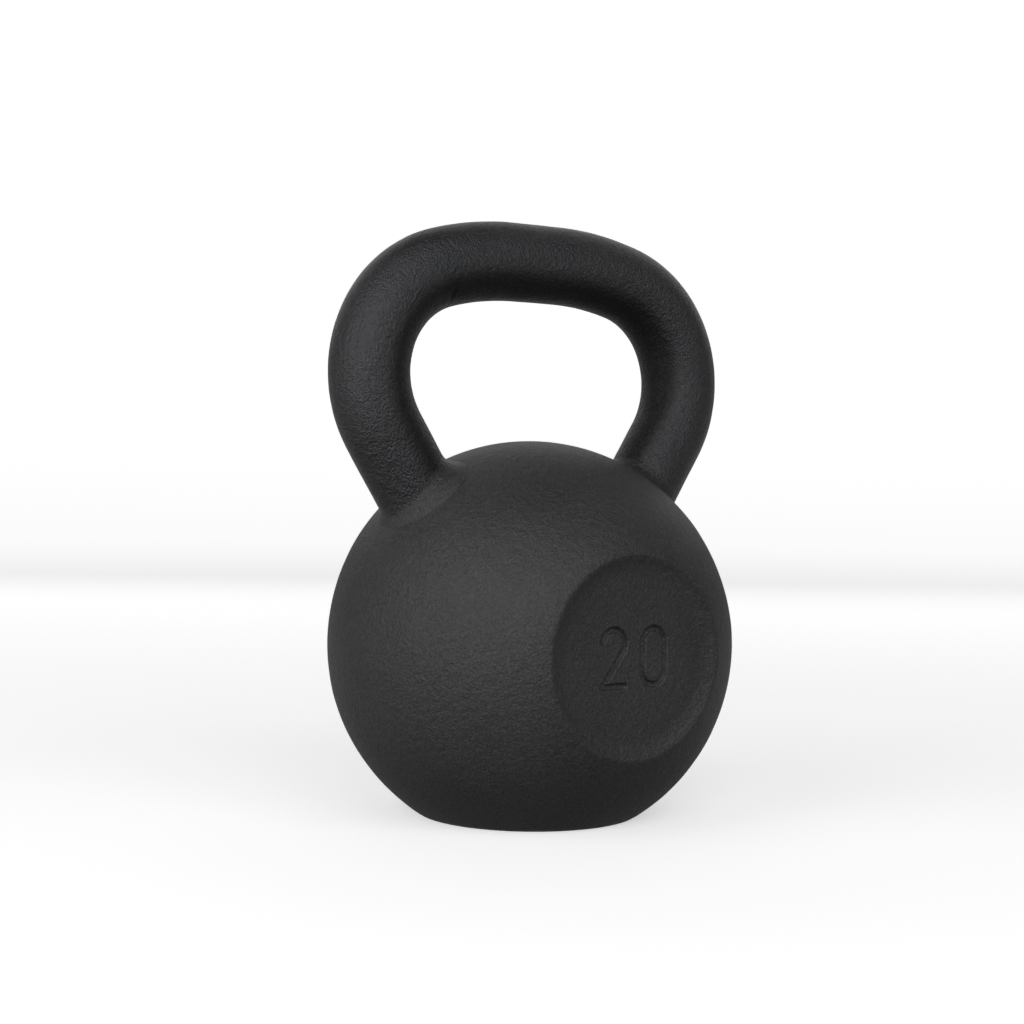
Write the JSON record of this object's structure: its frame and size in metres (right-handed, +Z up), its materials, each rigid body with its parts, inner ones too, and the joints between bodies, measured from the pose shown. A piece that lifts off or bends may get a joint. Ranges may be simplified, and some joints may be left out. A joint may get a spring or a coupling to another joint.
{
  "type": "kettlebell",
  "caption": "Round kettlebell: a cored iron ball with a flat base and a number disc, a closed steel loop handle, weld collars at its roots, a ballast fill and a base plug.",
  "frame": {"origin": "middle of the base, on the surface that the bell stands on", "axes": "+Z up through the ball, the handle's loop in the XZ plane, the number disc facing -Y"},
  "size_m": [0.2058, 0.1624, 0.2679],
  "materials": {
    "ball_coat": "fine-textured satin black powder coat on cast iron",
    "handle_coat": "fine-textured satin black powder coat on a round steel bar",
    "weld_coat": "powder coat over a hand-dressed weld",
    "ballast": "mineral grit set in resin, rough",
    "plug_coat": "powder coat over a pressed steel disc"
  },
  "bodies": {
    "root": {"ball_casting": "ball_coat", "handle_bar": "handle_coat", "left_root_weld": "weld_coat", "right_root_weld": "weld_coat", "ballast_core": "ballast", "base_plug": "plug_coat"}
  },
  "joints": []
}
